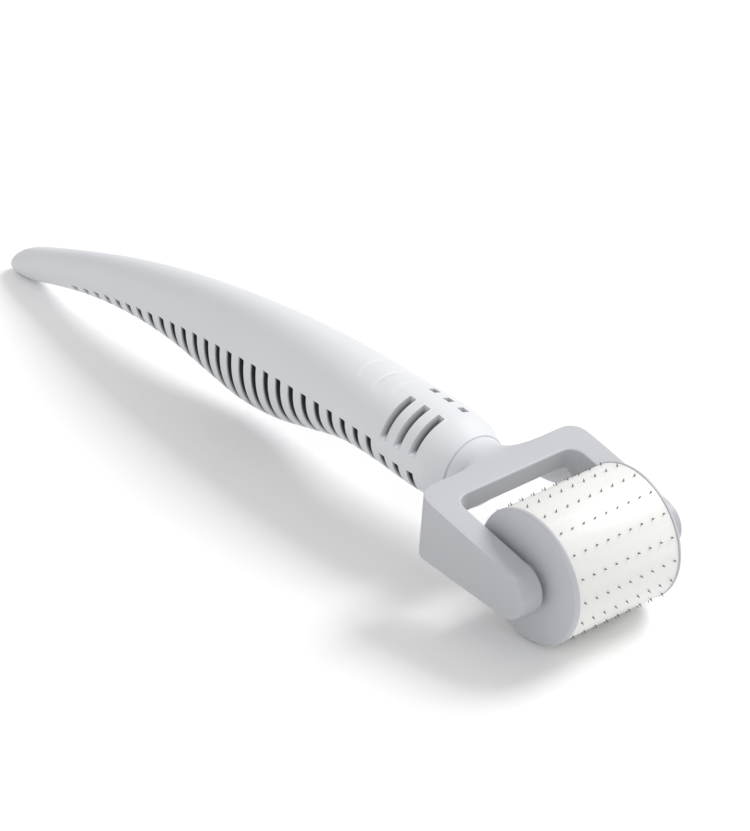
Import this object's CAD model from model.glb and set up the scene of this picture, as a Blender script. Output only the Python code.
"""The looks of a derma roller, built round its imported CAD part.

The handle, fork, sleeve and end caps are new pieces that stand for their CAD nodes; the needles and
the hidden core are the CAD nodes themselves with a finish put on. Shapes are given in millimetres
from the axle: x forward, y left, z up, and s is the distance behind the axle.
"""

from math import acos, asin, cos, hypot, pi, radians, sin

import bmesh
import bpy
import numpy as np
from mathutils import Euler, Matrix, Vector


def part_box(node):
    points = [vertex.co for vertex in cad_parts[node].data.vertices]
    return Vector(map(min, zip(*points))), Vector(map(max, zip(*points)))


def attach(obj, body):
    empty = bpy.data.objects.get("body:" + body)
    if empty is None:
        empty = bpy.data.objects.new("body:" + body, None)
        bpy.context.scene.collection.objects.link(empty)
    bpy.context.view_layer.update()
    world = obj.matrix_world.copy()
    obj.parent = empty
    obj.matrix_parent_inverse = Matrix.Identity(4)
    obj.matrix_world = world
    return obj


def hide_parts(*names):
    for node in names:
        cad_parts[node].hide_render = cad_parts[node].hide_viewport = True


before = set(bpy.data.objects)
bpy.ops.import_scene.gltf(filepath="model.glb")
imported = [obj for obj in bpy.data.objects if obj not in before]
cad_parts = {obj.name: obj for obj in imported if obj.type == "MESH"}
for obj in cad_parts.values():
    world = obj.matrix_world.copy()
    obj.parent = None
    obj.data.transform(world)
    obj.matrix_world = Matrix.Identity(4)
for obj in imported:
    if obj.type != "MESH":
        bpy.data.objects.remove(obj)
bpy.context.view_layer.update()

MM = 0.001
sleeve_low, sleeve_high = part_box("drum_sleeve")
AXLE = (sleeve_low + sleeve_high) / 2
NEEDLE_ROWS = sorted(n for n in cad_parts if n.startswith("needle_row"))

SEAM_GAP = 0.002                    # vertices this close on a seam or a pole are one
SHARP_EDGE, SHARP_SHADE = 35, 40    # degrees at which an edge is rounded, and shaded hard


# ---------------------------------------------------------------- helpers for the work by hand

def at(x, y, z):
    """A point given in millimetres from the axle, as a place in the row frame."""
    return AXLE + Vector((x, y, z)) * MM


def deselect():
    for piece in bpy.context.selected_objects:
        piece.select_set(False)


def pick(piece):
    """Makes a piece the active one and the only selected one."""
    deselect()
    piece.select_set(True)
    bpy.context.view_layer.objects.active = piece


def name_piece(name):
    """Names the piece that was just added, and its mesh."""
    piece = bpy.context.object
    piece.name = piece.data.name = name
    return piece


def edit(piece, kind="FACE"):
    pick(piece)
    bpy.context.tool_settings.mesh_select_mode = (kind == "VERT", kind == "EDGE", kind == "FACE")
    bpy.ops.object.mode_set(mode="EDIT")


def leave():
    bpy.ops.object.mode_set(mode="OBJECT")


def merge_close(gap):
    """Merges the vertices that lie closer together than the gap, in millimetres."""
    bpy.ops.mesh.select_all(action="SELECT")
    bpy.ops.mesh.remove_doubles(threshold=gap * MM)


def face_outward():
    bpy.ops.mesh.select_all(action="SELECT")
    bpy.ops.mesh.normals_make_consistent(inside=False)


def middle(element):
    """The middle of a face, edge or vertex, in millimetres from the axle."""
    if isinstance(element, bmesh.types.BMFace):
        place = element.calc_center_median()
    elif isinstance(element, bmesh.types.BMEdge):
        place = (element.verts[0].co + element.verts[1].co) / 2
    else:
        place = element.co
    return (place - AXLE) / MM


def select_where(piece, kind, test):
    """Selects the faces, edges or vertices whose middle passes the test."""
    mesh = bmesh.from_edit_mesh(piece.data)
    for element in (*mesh.verts, *mesh.edges, *mesh.faces):
        element.select = False
    for element in {"FACE": mesh.faces, "EDGE": mesh.edges, "VERT": mesh.verts}[kind]:
        if test(element, middle(element)):
            element.select_set(True)
    bmesh.update_edit_mesh(piece.data)


def put_selected(piece, move):
    """Gives each selected vertex its new place, worked out from where it is, in millimetres."""
    mesh = bmesh.from_edit_mesh(piece.data)
    for vertex in mesh.verts:
        if vertex.select:
            vertex.co = at(*move((vertex.co - AXLE) / MM))
    bmesh.update_edit_mesh(piece.data)


def roll_up(name, rings):
    """A grid rolled up into a tube: each row of it becomes one ring, and its seam and poles are merged."""
    deselect()
    bpy.ops.mesh.primitive_grid_add(x_subdivisions=len(rings[0]), y_subdivisions=len(rings) - 1)
    piece = name_piece(name)
    points = [at(*p) for ring in rings for p in (*ring, ring[0])]
    piece.data.vertices.foreach_set("co", np.ravel(points))
    edit(piece)
    merge_close(SEAM_GAP)
    face_outward()
    leave()
    return piece


def spin_up(name, profile, steps):
    """A profile of (radius, y) points spun about the axle into a closed round piece."""
    deselect()
    bpy.ops.mesh.primitive_circle_add(vertices=len(profile), radius=MM)
    piece = name_piece(name)
    for vertex, (radius, y) in zip(piece.data.vertices, profile):
        vertex.co = at(0, y, radius)
    edit(piece, "EDGE")
    bpy.ops.mesh.select_all(action="SELECT")
    bpy.ops.mesh.spin(steps=steps, angle=2 * pi, center=AXLE, axis=(0, 1, 0))
    merge_close(SEAM_GAP)
    face_outward()
    leave()
    shade_by_angle(piece)
    return piece


def shade_by_angle(piece):
    """Shades a piece smooth except over its sharp edges."""
    pick(piece)
    bpy.ops.object.shade_smooth_by_angle(angle=radians(SHARP_SHADE))


def soften_edges(piece, width, test, segments=2):
    """Rounds the sharp edges that pass the test."""
    edit(piece, "EDGE")
    bpy.ops.mesh.select_all(action="DESELECT")
    bpy.ops.mesh.edges_select_sharp(sharpness=radians(SHARP_EDGE))
    mesh = bmesh.from_edit_mesh(piece.data)
    for edge in [e for e in mesh.edges if e.select]:
        if not test(middle(edge)):
            edge.select_set(False)
    bmesh.update_edit_mesh(piece.data)
    bpy.ops.mesh.bevel(offset=width * MM, segments=segments, affect="EDGES", clamp_overlap=True)
    leave()


def smooth_out(piece, levels):
    """Subdivides a piece to a smooth skin."""
    finish = piece.modifiers.new("smooth", "SUBSURF")
    finish.levels = finish.render_levels = levels
    pick(piece)
    bpy.ops.object.modifier_apply(modifier=finish.name)
    bpy.ops.object.shade_smooth()


# ---------------------------------------------------------------- handle

# Sections of the handle: s, top line, underside, half width.
SECTIONS = np.array([
    [22, 8.2, -3.2, 5.85], [23.5, 8.7, -3.1, 6.3], [25.5, 9.45, -2.9, 7.1], [30, 9.95, -2.7, 7.35],
    [38, 10.3, -2.3, 7.05], [46, 10.75, -2.8, 6.65], [54, 10.85, -4.8, 6.4], [62, 10.5, -6.8, 6],
    [70, 9.7, -7.45, 5.5], [78, 8.6, -6.5, 4.75], [86, 7.15, -5.25, 4.05], [94, 5.35, -4.85, 3.55],
    [102, 3.2, -5.35, 2.95], [110, 0.7, -6.55, 2.4], [118, -2.05, -8.4, 2.3], [124, -4.3, -10.05, 2.2],
    [127.5, -6.3, -10.2, 1.9], [129, -7.75, -9.95, 1.3], [129.6, -8.8, -9.2, 0.2]
])
SLOT_COUNT, SLOT_PITCH, SLOT_WIDTH, FIRST_SLOT = 29, 3.01, 1.3, 111.6
WINDOW_COUNT, WINDOW_FOOT, WINDOW_INNER = 3, 5.4, 1.3
VENT_INNER, VENT_OUTER, VENT_FLOOR = 2.0, 3.2, 8.3
WINDOWS_END = 35.5
SHORT_SLOT_TOP = 3.0
ARCH_TOP, ARCH_S, ARCH_FALL = 4.5, 42, 0.002
SLOTS_START = 26.3
WEB = 0.8
JOINT, NECK_Z = 22.0, 2.5
SPIGOT_R, SPIGOT_LENGTH, SOCKET_GAP = 3.6, 3.6, 0.08


def section_curve(steps=24):
    """The handle's sections, drawn out as a smooth curve with some steps from one to the next."""
    stations = []
    for i in range(len(SECTIONS) - 1):
        before, here, after, beyond = (
            SECTIONS[min(max(k, 0), len(SECTIONS) - 1)] for k in (i - 1, i, i + 1, i + 2))
        for t in np.linspace(0, 1, steps, endpoint=False):
            stations.append(here + 0.5 * t * ((after - before) + t * (
                (2 * before - 5 * here + 4 * after - beyond) + t * (3 * (here - after) + beyond - before))))
    return np.array([*stations, SECTIONS[-1]])


CURVE = section_curve()


def oval(s):
    """The middle height, half height and half width of the handle's section at s."""
    top, under, half = (float(np.interp(s, CURVE[:, 0], CURVE[:, k])) for k in (1, 2, 3))
    return (top + under) / 2, (top - under) / 2, half


def slot_s(i):
    return FIRST_SLOT - i * SLOT_PITCH


def slot_top(i):
    """Height at which a slot ends: the windows' slots stop short, the others follow an arch."""
    if i >= SLOT_COUNT - WINDOW_COUNT:
        return SHORT_SLOT_TOP
    return ARCH_TOP - ARCH_FALL * max(slot_s(i) - ARCH_S, 0) ** 2


def ring_angles(s, line, side):
    """Angles of one side's vertices, from the underside's middle up to the top's.

    They step over the web's edge, the slots' upper line and both ends of the right side's windows
    or of the left side's vents."""
    centre, rise, half = oval(s)
    web = -acos(min(WEB / half, 0.5))
    slots_end = asin(max(min((line - centre) / rise, 0.9), -0.6))
    if side > 0:
        counts = [1, 9, 6, 2, 2]
        foot, inner = acos(min(VENT_OUTER / half, 0.48)), acos(min(VENT_INNER / half, 0.3))
    else:
        counts = [1, 9, 2, 6, 2]
        foot = asin((WINDOW_FOOT - centre) / rise) if s < WINDOWS_END else slots_end + radians(12)
        inner = acos(min(WINDOW_INNER / half, 0.3))
    keys = [-pi / 2, web, slots_end, foot, inner, pi / 2]
    angles = []
    for low, high, count in zip(keys, keys[1:], counts):
        angles += [low + (high - low) * k / count for k in range(count)]
    return [*angles, pi / 2]


def handle_ring(s, line, inset=0.0):
    """One ring of the handle's skin at s, drawn in by an inset."""
    centre, rise, half = oval(s)
    left, right = (
        [(-s, side * (half - inset) * cos(a), centre + (rise - inset) * sin(a))
         for a in ring_angles(s, line, side)]
        for side in (1, -1))
    return left + right[-2:0:-1]


def round_ring(s, radius, like):
    """A round ring about the neck's middle with the vertices of a ring of the skin in their order."""
    ring = []
    for _, y, z in like:
        away = Vector((y, z - NECK_Z)).normalized() * radius
        ring.append((-s, away.x, NECK_Z + away.y))
    return ring


# Stations of the skin outside the slots, closer together where it turns in.
TAIL_STATIONS = (129.5, 129.2, 128.7, 128, 127, 125.5, 123.5, 121, 118.5, 116, 114, 112.8)
FRONT_STATIONS = (25.6, 24.8, 24.0, 23.2, 22.5, 22.16)
TAIL_TIP = (-129.6, 0, -9.2)
POCKET_EDGE = 0.17


def skin_stations():
    """Each station's s, with the height of the slots' upper line there."""
    stations = [(s, slot_top(0)) for s in TAIL_STATIONS]
    for i in range(SLOT_COUNT):
        stations += [(slot_s(i) + SLOT_WIDTH / 2, slot_top(i)), (slot_s(i) - SLOT_WIDTH / 2, slot_top(i))]
        if i < SLOT_COUNT - 1:
            stations.append((slot_s(i) - SLOT_PITCH / 2, (slot_top(i) + slot_top(i + 1)) / 2))
    return stations + [(s, SHORT_SLOT_TOP) for s in FRONT_STATIONS]


def make_handle():
    rings = [handle_ring(s, line) for s, line in skin_stations()]
    rings.insert(0, [TAIL_TIP] * len(rings[0]))
    # The front end's edge is broken a little, and the socket for the fork goes in behind it.
    skin = handle_ring(JOINT, SHORT_SLOT_TOP, inset=0.08)
    rings += [handle_ring(JOINT + 0.05, SHORT_SLOT_TOP, inset=0.03), skin,
              handle_ring(JOINT, SHORT_SLOT_TOP, inset=0.4)]
    socket = SPIGOT_R + SOCKET_GAP
    for s, radius in ((JOINT, socket + 0.3), (JOINT, socket), (JOINT + 0.3, socket),
                      (JOINT + SPIGOT_LENGTH - 0.1, socket), (JOINT + SPIGOT_LENGTH + 0.1, socket - 0.2)):
        rings.append(round_ring(s, radius, skin))
    rings.append([(-JOINT - SPIGOT_LENGTH - 0.1, 0, NECK_Z)] * len(rings[0]))
    handle = roll_up("handle_shell", rings)
    cut_pockets(handle)
    soften_edges(handle, POCKET_EDGE, lambda m: m.x < -JOINT - 3)
    smooth_out(handle, 1)
    press_scallops(handle)
    mark_pockets(handle)
    return handle


def in_slot(s):
    """The slot that a place along the handle falls in, or None."""
    i = round((FIRST_SLOT - s) / SLOT_PITCH)
    if 0 <= i < SLOT_COUNT and abs(s - slot_s(i)) < SLOT_WIDTH / 2 - 0.05:
        return i
    return None


def slot_face(m, side):
    """Whether a face of the skin is the mouth of one side's slot."""
    i = in_slot(-m.x)
    return i is not None and side * m.y > WEB and m.z < slot_top(i) and -m.x > SLOTS_START


def over_window(m):
    """Whether a place is in line with one of the three windows, above their foot."""
    i = in_slot(-m.x)
    return i is not None and i >= SLOT_COUNT - WINDOW_COUNT and m.z > WINDOW_FOOT


def window_face(m):
    return over_window(m) and m.y < -WINDOW_INNER


def vent_face(m):
    return over_window(m) and VENT_INNER < m.y < VENT_OUTER


def cut_pockets(handle):
    """Pushes the slots in to the middle web, the windows in to their inner ends and the vents down."""
    for is_face, flatten, floor_point in (
            (lambda m: slot_face(m, 1), (1, 0, 1), (0, WEB, 0)),
            (lambda m: slot_face(m, -1), (1, 0, 1), (0, -WEB, 0)),
            (window_face, (1, 0, 1), (0, -WINDOW_INNER, 0)),
            (vent_face, (1, 1, 0), (0, 0, VENT_FLOOR))):
        edit(handle)
        select_where(handle, "FACE", lambda face, m: is_face(m))
        bpy.ops.mesh.extrude_region_move()
        bpy.ops.transform.resize(value=flatten, center_override=at(*floor_point))
        merge_close(0.01)
        leave()


# How far under the skin a pocket's wall starts to fall dark, and how much further it is full dark.
LIP, SLOT_DARK, WINDOW_DARK = 0.1, 0.35, 2.0


def mark_pockets(handle):
    """Stores on each vertex how far it has sunk under the skin towards a pocket's full dark."""
    sunk = []
    for vertex in handle.data.vertices:
        m = (vertex.co - AXLE) / MM
        centre, rise, half = oval(-m.x)
        depth = (1 - hypot(m.y / half, (m.z - centre) / rise)) * min(half, rise)
        inside = -m.x > JOINT + SPIGOT_LENGTH and depth > LIP
        dark = WINDOW_DARK if m.z > WINDOW_FOOT - 0.1 and -m.x < WINDOWS_END + 0.5 else SLOT_DARK
        sunk.append((depth - LIP) / dark if inside else 0.0)
    mark = handle.data.attributes.new("pocket_depth", "FLOAT", "POINT")
    mark.data.foreach_set("value", sunk)


# Thumb scallops on the top: s of the lip, its middle in y, half length, depth.
SCALLOPS = [(44.1, -0.3, 2.9, 0.16), (40.3, -0.6, 3.3, 0.2), (37.1, -0.5, 2.5, 0.12)]
SCALLOP_RUN, SCALLOP_LIP, SCALLOP_TOP = 3, 0.35, 8


def scallop_depth(s, y):
    """A scallop drops steeply at its lip and runs out flat in front of it and to both ends."""
    depth = 0.0
    for lip, centre, reach, deep in SCALLOPS:
        off = (y - centre) / reach
        ahead = lip - 0.5 * off * off - s
        if abs(off) < 1 and 0 < ahead < SCALLOP_RUN:
            drop = min(ahead / SCALLOP_LIP, 1)
            run_out = (1 - ahead / SCALLOP_RUN) ** 1.5 * (1 - off * off) ** 0.7
            depth += deep * drop * drop * (3 - 2 * drop) * run_out
    return depth


def press_scallops(handle):
    """Presses the three shallow thumb scallops into the top, on a patch of finer faces."""
    edit(handle)
    select_where(handle, "FACE",
                 lambda face, m: 33.5 < -m.x < 45.5 and abs(m.y) < 4.6 and m.z > SCALLOP_TOP)
    bpy.ops.mesh.subdivide(number_cuts=2)
    leave()
    for vertex in handle.data.vertices:
        m = (vertex.co - AXLE) / MM
        if m.z > SCALLOP_TOP and 33 < -m.x < 46:
            vertex.co.z -= scallop_depth(-m.x, m.y) * MM


# ---------------------------------------------------------------- fork

ARM_OUT, ARM_IN = 14.8, 10.95
NOSE, NOSE_R = Vector((0.95, -0.22)), 3.65
BACK_TOP, BACK_FOOT = Vector((-17.35, 7.45)), Vector((-18.2, -2.45))
TOP_TANGENT, FOOT_TANGENT = 77.9, -94.4
POCKET_X, POCKET_R = -13.5, 2.0
NECK_HALF = 8.4
CORNER_R = 2.6
RIM_EDGE, OUTER_EDGE = 0.75, 0.65
HOLE_R, HOLE_DEPTH, DRILL_LENGTH = 1.55, 1.65, 1.8
# The bar's underside rises from its back to its front.
BAR_FRONT_Z, BAR_BACK = 3.9, Vector((-17.85, 0.6))


def nose_point(angle):
    """A point on the arm's round end, at an angle in degrees above straight ahead."""
    return NOSE + NOSE_R * Vector((cos(radians(angle)), sin(radians(angle))))


def on_line(x, start, end):
    """Height at x of the line through two points."""
    return start.y + (x - start.x) * (end.y - start.y) / (end.x - start.x)


def top_z(x):
    return on_line(x, BACK_TOP, nose_point(TOP_TANGENT))


def foot_z(x):
    return on_line(x, BACK_FOOT, nose_point(FOOT_TANGENT))


def fork_ring(outer_top, outer_foot, inner_top, inner_foot):
    """A section through the fork's bar or arm: its inner side has two vertices, its outer side five."""
    low, high = Vector(outer_foot), Vector(outer_top)
    return [inner_foot, inner_top, *(tuple(high.lerp(low, k / 4)) for k in range(5))]


def plan_ring(outer, foot, inner):
    """A section where the plan gives the corner's x and y, and the sloping faces give z."""
    return fork_ring((*outer, top_z(outer[0])), (*foot, foot_z(foot[0])),
                     (*inner, top_z(inner[0])), (*inner, foot_z(inner[0])))


def bar_ring(y):
    """A section of the bar, which is cut away below on a slope."""
    return fork_ring((BACK_TOP.x, y, BACK_TOP.y), (BAR_BACK.x, y, BAR_BACK.y),
                     (POCKET_X, y, top_z(POCKET_X)), (POCKET_X, y, BAR_FRONT_Z))


def half_fork_rings():
    """Sections from the middle of the bar, round the corner and out to the arm's end.

    Where the bar goes over into the arm, its underside's slope runs out along the corner."""
    rings = [bar_ring(y) for y in (0, NECK_HALF / 2, NECK_HALF)]
    for turn in (0, 22.5, 45, 67.5, 90):
        back, out = cos(radians(turn)), sin(radians(turn))
        ring = plan_ring(
            (BACK_TOP.x + CORNER_R * (1 - back), ARM_OUT - CORNER_R * (1 - out)),
            (BACK_FOOT.x + CORNER_R * (1 - back), ARM_OUT - CORNER_R * (1 - out)),
            (POCKET_X + POCKET_R * (1 - back), ARM_IN - POCKET_R * (1 - out)))
        x, y, z = ring[0]
        ring[0] = (x, y, z + (BAR_FRONT_Z - z) * back)
        rings.append(ring)
    for x in (-9.0, -4.0):
        rings.append(plan_ring((x, ARM_OUT), (x, ARM_OUT), (x, ARM_IN)))
    for high, low in ((TOP_TANGENT, FOOT_TANGENT), (63, -78), (48, -61), (33, -44), (18, -27), (5, -12)):
        (top_x, top), (foot_x, foot) = nose_point(high), nose_point(low)
        rings.append(fork_ring((top_x, ARM_OUT, top), (foot_x, ARM_OUT, foot),
                               (top_x, ARM_IN, top), (foot_x, ARM_IN, foot)))
    return rings


# Rings of the neck, from the bar back to the joint: s at the top, s at the foot, how round,
# half width, top, underside.
NECK_RINGS = [
    (17.75, 18.25, 0.25, 7.1, 7.5, 0.15),
    (18.4, 18.9, 0.6, 6.3, 7.6, -0.45),
    (19.3, 19.7, 0.95, 5.65, 7.75, -1.4),
    (20.3, 20.5, 1, 5.4, 7.85, -2.3),
    (21.2, 21.3, 1, 5.5, 8.0, -2.85),
    (21.75, 21.75, 1, 5.65, 8.12, -3.12),
    (21.95, 21.95, 1, 5.65, 8.15, -3.15),
    (22.0, 22.0, 1, 5.5, 8.0, -3.0),
    (22.0, 22.0, 1, 3.9, 6.4, -1.4),
    (22.2, 22.2, 1, 3.65, 6.15, -1.15),
    (25.3, 25.3, 1, 3.65, 6.15, -1.15),
    (25.6, 25.6, 1, 3.3, 5.8, -0.8),
]


def on_neck(u, v, top_s, foot_s, roundness, half, top, foot):
    """Where the point (u, v) of a square grid goes on a neck section between a box and a circle."""
    reach = max(abs(u), abs(v))
    if reach == 0:
        y, z = 0.0, 0.0
    elif abs(u) >= abs(v):
        turn = pi / 4 * v / u
        y, z = reach * cos(turn) * (1 if u > 0 else -1), reach * sin(turn) * (1 if u > 0 else -1)
    else:
        turn = pi / 4 * u / v
        y, z = reach * sin(turn) * (1 if v > 0 else -1), reach * cos(turn) * (1 if v > 0 else -1)
    y, z = u + (y - u) * roundness, v + (z - v) * roundness
    share = (1 - v) / 2
    return (-(top_s + (foot_s - top_s) * share), y * half, (top + foot) / 2 + z * (top - foot) / 2)


def make_fork():
    left = half_fork_rings()
    right = [[(x, -y, z) for x, y, z in ring] for ring in left]
    fork = roll_up("fork_body", right[:0:-1] + left)
    edit(fork, "EDGE")
    bpy.ops.mesh.select_all(action="SELECT")
    bpy.ops.mesh.fill_holes(sides=0)
    face_outward()
    leave()
    for plane in (ARM_OUT, ARM_IN):
        edit(fork)
        select_where(fork, "FACE",
                     lambda face, m: abs(abs(m.y) - plane) < 0.01 and abs(face.normal.y) > 0.99)
        bpy.ops.mesh.dissolve_faces(use_verts=True)
        leave()
    draw_neck(fork)
    soften_edges(fork, RIM_EDGE, on_rim, 3)
    soften_edges(fork, OUTER_EDGE, lambda m: m.x > -16 or abs(m.y) > NECK_HALF)
    smooth_out(fork, 2)
    bore_arms(fork)
    return fork


def on_rim(m):
    """Whether an edge is on the rim of the drum's pocket, along the fork's top."""
    top = top_z(m.x) if m.x < nose_point(TOP_TANGENT).x else NOSE.y
    return m.x > POCKET_X - 0.35 and abs(m.y) < ARM_IN + 0.1 and m.z > top - 0.3


def draw_neck(fork):
    """Draws the neck out of the bar's back, ring by ring, and then the spigot."""
    def home(m):
        share = (m.z - BAR_BACK.y) / (BACK_TOP.y - BAR_BACK.y)
        return round(m.y / (NECK_HALF / 2)) / 2, round(share * 4) / 2 - 1

    edit(fork)
    select_where(fork, "FACE", lambda face, m: m.x < -17 and abs(m.y) < NECK_HALF and face.normal.x < -0.9)
    mesh = bmesh.from_edit_mesh(fork.data)
    grid = {home(v_mm): v_mm for v_mm in ((v.co - AXLE) / MM for v in mesh.verts if v.select)}
    for ring in NECK_RINGS:
        bpy.ops.mesh.extrude_region_move()
        places = {key: on_neck(*key, *ring) for key in grid}

        def move(m):
            key = min(grid, key=lambda k: (Vector(grid[k]) - m).length_squared)
            return places[key]

        put_selected(fork, move)
        grid = {key: Vector(place) for key, place in places.items()}
    leave()


def bore_arms(fork):
    """Bores the blind holes for the journals into the arms' inner sides."""
    for side in (1, -1):
        deselect()
        bpy.ops.mesh.primitive_cylinder_add(
            vertices=48, radius=HOLE_R * MM, depth=DRILL_LENGTH * MM, rotation=(pi / 2, 0, 0),
            location=at(0, side * (ARM_IN + HOLE_DEPTH - DRILL_LENGTH / 2), 0))
        drill = name_piece("drill")
        cut = fork.modifiers.new("bore", "BOOLEAN")
        cut.object, cut.operation, cut.solver = drill, "DIFFERENCE", "EXACT"
        pick(fork)
        bpy.ops.object.modifier_apply(modifier=cut.name)
        bpy.data.objects.remove(drill)
    shade_by_angle(fork)


# ---------------------------------------------------------------- drum

SLEEVE_R, SLEEVE_HALF, CORE_R, CORE_BORE_R = 9.85, 9.2, 8.25, 3.2
CAP_R, DRUM_HALF = 9.95, 9.8
HUB_R, HUB_END, JOURNAL_R, JOURNAL_END = 2.2, 10.83, 1.5, 12.45


def quarter(radius_at, y_at, r, start, end, steps):
    """Points of a rounded edge about (radius_at, y_at), from angle start to end."""
    return [(radius_at + r * cos(radians(a)), y_at + r * sin(radians(a)))
            for a in np.linspace(start, end, steps)]


def make_sleeve():
    edge = 0.12
    profile = [(CORE_R, -SLEEVE_HALF), *quarter(SLEEVE_R - edge, -SLEEVE_HALF + edge, edge, -90, 0, 3),
               *quarter(SLEEVE_R - edge, SLEEVE_HALF - edge, edge, 0, 90, 3), (CORE_R, SLEEVE_HALF)]
    return spin_up("sleeve_skin", profile, steps=144)


def make_cap(name, side):
    """A disc with a round rim, and a stub journal on a hub at its middle; side is 1 on the left."""
    rim = 0.58
    profile = [
        (0, SLEEVE_HALF - 2), (CORE_BORE_R, SLEEVE_HALF - 2), (CORE_BORE_R, SLEEVE_HALF),
        (CAP_R, SLEEVE_HALF), *quarter(CAP_R - rim, DRUM_HALF - rim, rim, 0, 90, 6),
        (HUB_R + 0.15, DRUM_HALF), (HUB_R, DRUM_HALF + 0.15),
        (HUB_R, HUB_END - 0.18), (HUB_R - 0.18, HUB_END), (JOURNAL_R, HUB_END),
        (JOURNAL_R, JOURNAL_END - 0.2), (JOURNAL_R - 0.2, JOURNAL_END), (0, JOURNAL_END)]
    return spin_up(name, [(radius, side * y) for radius, y in profile], steps=128)


# ---------------------------------------------------------------- finishes

def colour(hex_code):
    """An sRGB hex colour as linear values."""
    parts = [int(hex_code[k:k + 2], 16) / 255 for k in (1, 3, 5)]
    return [c / 12.92 if c <= 0.04045 else ((c + 0.055) / 1.055) ** 2.4 for c in parts] + [1]


def add(tree, kind, settings=None, **sockets):
    """Adds a node with its settings; a socket is given a value, or another node's output to link.

    A socket goes by its name, or by its number after an i."""
    node = tree.nodes.new(kind)
    for key, value in (settings or {}).items():
        setattr(node, key, value)
    for key, value in sockets.items():
        numbered = key[0] == "i" and key[1:].isdigit()
        socket = node.inputs[int(key[1:]) if numbered else key.replace("_", " ")]
        if isinstance(value, bpy.types.NodeSocket):
            tree.links.new(value, socket)
        else:
            socket.default_value = value
    return node


def blend(tree, share, low, high):
    """Goes from one colour to another with a share from 0 to 1."""
    return add(tree, "ShaderNodeMix", {"data_type": "RGBA"}, i0=share, i6=low, i7=high).outputs[2]


def new_finish(name, **shader_values):
    """A finish with nothing but its shader yet, and the place on the piece that its patterns use."""
    material = bpy.data.materials.new(name)
    material.use_nodes = True
    tree = material.node_tree
    tree.nodes.clear()
    shader = add(tree, "ShaderNodeBsdfPrincipled", **shader_values)
    output = add(tree, "ShaderNodeOutputMaterial", Surface=shader.outputs[0])
    place = add(tree, "ShaderNodeTexCoord").outputs["Object"]
    return material, tree, shader, place


def moulded_abs(name, base, deep, rough, pockets=None, neck=None):
    """Injection-moulded ABS: an even pale grey with faint flow clouds and a fine spark-eroded grain
    that spreads the highlights into soft patches. In the cored pockets it goes over to a dark
    teal grey, so that they read as deep black-green slits with light lips. The fork's neck goes
    over to the handle's lighter shade, so that the two mouldings seem to be of one piece."""
    material, tree, shader, place = new_finish(name, IOR=1.53)
    clouds = add(tree, "ShaderNodeTexNoise", Vector=place, Scale=1 / (14 * MM), Detail=2.0)
    skin = blend(tree, clouds.outputs["Fac"], colour(base), colour(deep))
    gloss = add(tree, "ShaderNodeTexNoise", Vector=place, Scale=1 / (3 * MM), Detail=3.0)
    roughness = add(tree, "ShaderNodeMapRange", Value=gloss.outputs["Fac"],
                    To_Min=rough - 0.05, To_Max=rough + 0.05)
    # The real grain is about 0.05 mm; it is drawn at 0.2 mm so that it shows at all.
    grit = add(tree, "ShaderNodeTexNoise", Vector=place, Scale=1 / (0.2 * MM), Detail=2.0)
    bump = add(tree, "ShaderNodeBump", Height=grit.outputs["Fac"], Strength=0.3, Distance=0.01 * MM)
    if pockets:
        sunk = add(tree, "ShaderNodeAttribute", {"attribute_name": "pocket_depth"})
        dark = add(tree, "ShaderNodeMapRange", {"interpolation_type": "SMOOTHSTEP"},
                   Value=sunk.outputs["Fac"])
        skin = blend(tree, dark.outputs[0], skin, colour(pockets))
    if neck:
        back = add(tree, "ShaderNodeSeparateXYZ", Vector=place)
        near_joint = add(tree, "ShaderNodeMapRange", Value=back.outputs["X"],
                         From_Min=AXLE.x - 17 * MM, From_Max=AXLE.x - 21.5 * MM)
        skin = blend(tree, near_joint.outputs[0], skin, colour(neck))
    tree.links.new(skin, shader.inputs["Base Color"])
    tree.links.new(roughness.outputs[0], shader.inputs["Roughness"])
    tree.links.new(bump.outputs[0], shader.inputs["Normal"])
    return material


def milky_polycarbonate():
    """Moulded white polycarbonate: light goes a little way in, so the shade on the drum is milky,
    with faint streaks along the axle from the mould."""
    material, tree, shader, place = new_finish(
        "milky_polycarbonate", IOR=1.58, Subsurface_Weight=0.25, Subsurface_Scale=1.2 * MM,
        Subsurface_Radius=(1.0, 0.95, 0.85))
    along = add(tree, "ShaderNodeMapping", Vector=place,
                Scale=(1 / (1.4 * MM), 1 / (40 * MM), 1 / (1.4 * MM)))
    streaks = add(tree, "ShaderNodeTexNoise", Vector=along.outputs[0], Scale=1.0, Detail=2.0)
    tint = blend(tree, streaks.outputs["Fac"], colour("#E6E6E3"), colour("#F0F0ED"))
    roughness = add(tree, "ShaderNodeMapRange", Value=streaks.outputs["Fac"], To_Min=0.3, To_Max=0.42)
    tree.links.new(tint, shader.inputs["Base Color"])
    tree.links.new(roughness.outputs[0], shader.inputs["Roughness"])
    return material


def ground_stainless():
    """Drawn and ground stainless steel: dull mid grey from the side with fine marks round the shank."""
    material, tree, shader, place = new_finish("ground_stainless", Metallic=1.0)
    marks = add(tree, "ShaderNodeTexNoise", Vector=place, Scale=1 / (0.05 * MM), Detail=1.0)
    tint = blend(tree, marks.outputs["Fac"], colour("#6E7176"), colour("#8C9095"))
    roughness = add(tree, "ShaderNodeMapRange", Value=marks.outputs["Fac"], To_Min=0.3, To_Max=0.45)
    tree.links.new(tint, shader.inputs["Base Color"])
    tree.links.new(roughness.outputs[0], shader.inputs["Roughness"])
    return material


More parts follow.
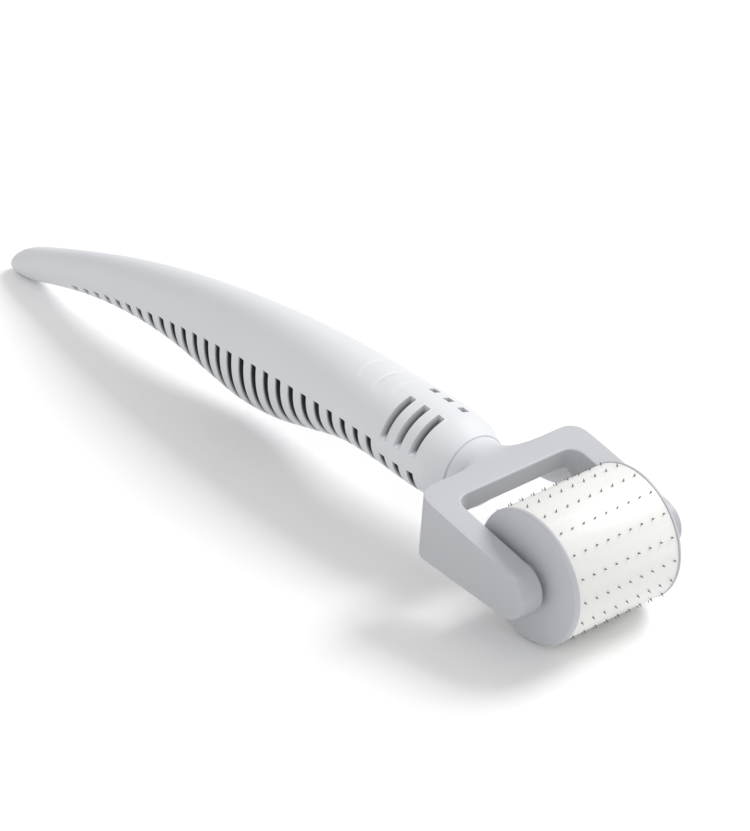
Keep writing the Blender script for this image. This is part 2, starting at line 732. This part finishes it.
def white_sweep():
    """Satin white studio board: almost no texture, with a weak sheen that mirrors what stands on it."""
    material, tree, shader, place = new_finish("white_sweep", IOR=1.35)
    fibres = add(tree, "ShaderNodeTexNoise", Vector=place, Scale=1 / (20 * MM), Detail=2.0)
    tint = blend(tree, fibres.outputs["Fac"], colour("#FBFBFB"), colour("#FFFFFF"))
    roughness = add(tree, "ShaderNodeMapRange", Value=fibres.outputs["Fac"], To_Min=0.28, To_Max=0.34)
    tree.links.new(tint, shader.inputs["Base Color"])
    tree.links.new(roughness.outputs[0], shader.inputs["Roughness"])
    return material


def put_finish(piece, material):
    piece.data.materials.clear()
    piece.data.materials.append(material)


# ---------------------------------------------------------------- the object

handle = make_handle()
fork = make_fork()
sleeve = make_sleeve()
cap_right = make_cap("cap_right_disc", -1)
cap_left = make_cap("cap_left_disc", 1)

put_finish(handle, moulded_abs("moulded_abs_handle", "#DFE0E4", "#DADBDF", 0.55, pockets="#3A4243"))
put_finish(fork, moulded_abs("moulded_abs_fork", "#BDBEC3", "#B8B9BE", 0.45, neck="#DADBDF"))
cap_finish = moulded_abs("moulded_abs_cap", "#C2C4C9", "#BDBFC4", 0.42)
put_finish(cap_right, cap_finish)
put_finish(cap_left, cap_finish)
put_finish(sleeve, milky_polycarbonate())
put_finish(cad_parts["drum_core"], moulded_abs("moulded_abs_core", "#DEDEDC", "#D6D6D4", 0.45))
steel = ground_stainless()
for row in NEEDLE_ROWS:
    put_finish(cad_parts[row], steel)

for piece, body, node, slot in ((handle, "grip", "handle", "handle_plastic"),
                                (fork, "grip", "fork", "fork_plastic"),
                                (sleeve, "roller", "drum_sleeve", "sleeve_plastic"),
                                (cap_right, "roller", "cap_right", "cap_plastic"),
                                (cap_left, "roller", "cap_left", "cap_plastic")):
    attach(piece, body)
    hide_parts(node)


# ---------------------------------------------------------------- floor, light and camera

deselect()
bpy.ops.mesh.primitive_plane_add(size=3)
floor = name_piece("floor")
put_finish(floor, white_sweep())

world = bpy.data.worlds.new("studio")
bpy.context.scene.world = world
world.use_nodes = True
world.node_tree.nodes["Background"].inputs["Color"].default_value = (1, 1, 1, 1)
world.node_tree.nodes["Background"].inputs["Strength"].default_value = 0.64


def softbox(name, place, size, power):
    """A square soft light that looks at the object."""
    deselect()
    bpy.ops.object.light_add(type="AREA", location=place)
    light = bpy.context.object
    light.name = name
    light.data.size = size
    light.data.energy = power
    light.rotation_euler = (-Vector(place)).to_track_quat("-Z", "Y").to_euler()


softbox("key_light", (0.1, 0.55, 0.6), 0.35, 4.2)
softbox("fill_light", (0.5, -0.6, 0.5), 0.6, 1.2)

bpy.ops.object.camera_add(location=(0.43343, -0.35776, 0.33760))
camera = bpy.context.object
camera.name = "camera"
table_tilt = Matrix.Rotation(radians(-0.5), 3, "Y")
camera.rotation_euler = (table_tilt @ Euler((radians(59.76), 0, radians(49.56))).to_matrix()).to_euler()
camera.data.lens = 194.5
camera.data.clip_start = 0.01
bpy.context.scene.camera = camera
bpy.context.scene.view_settings.view_transform = "Standard"
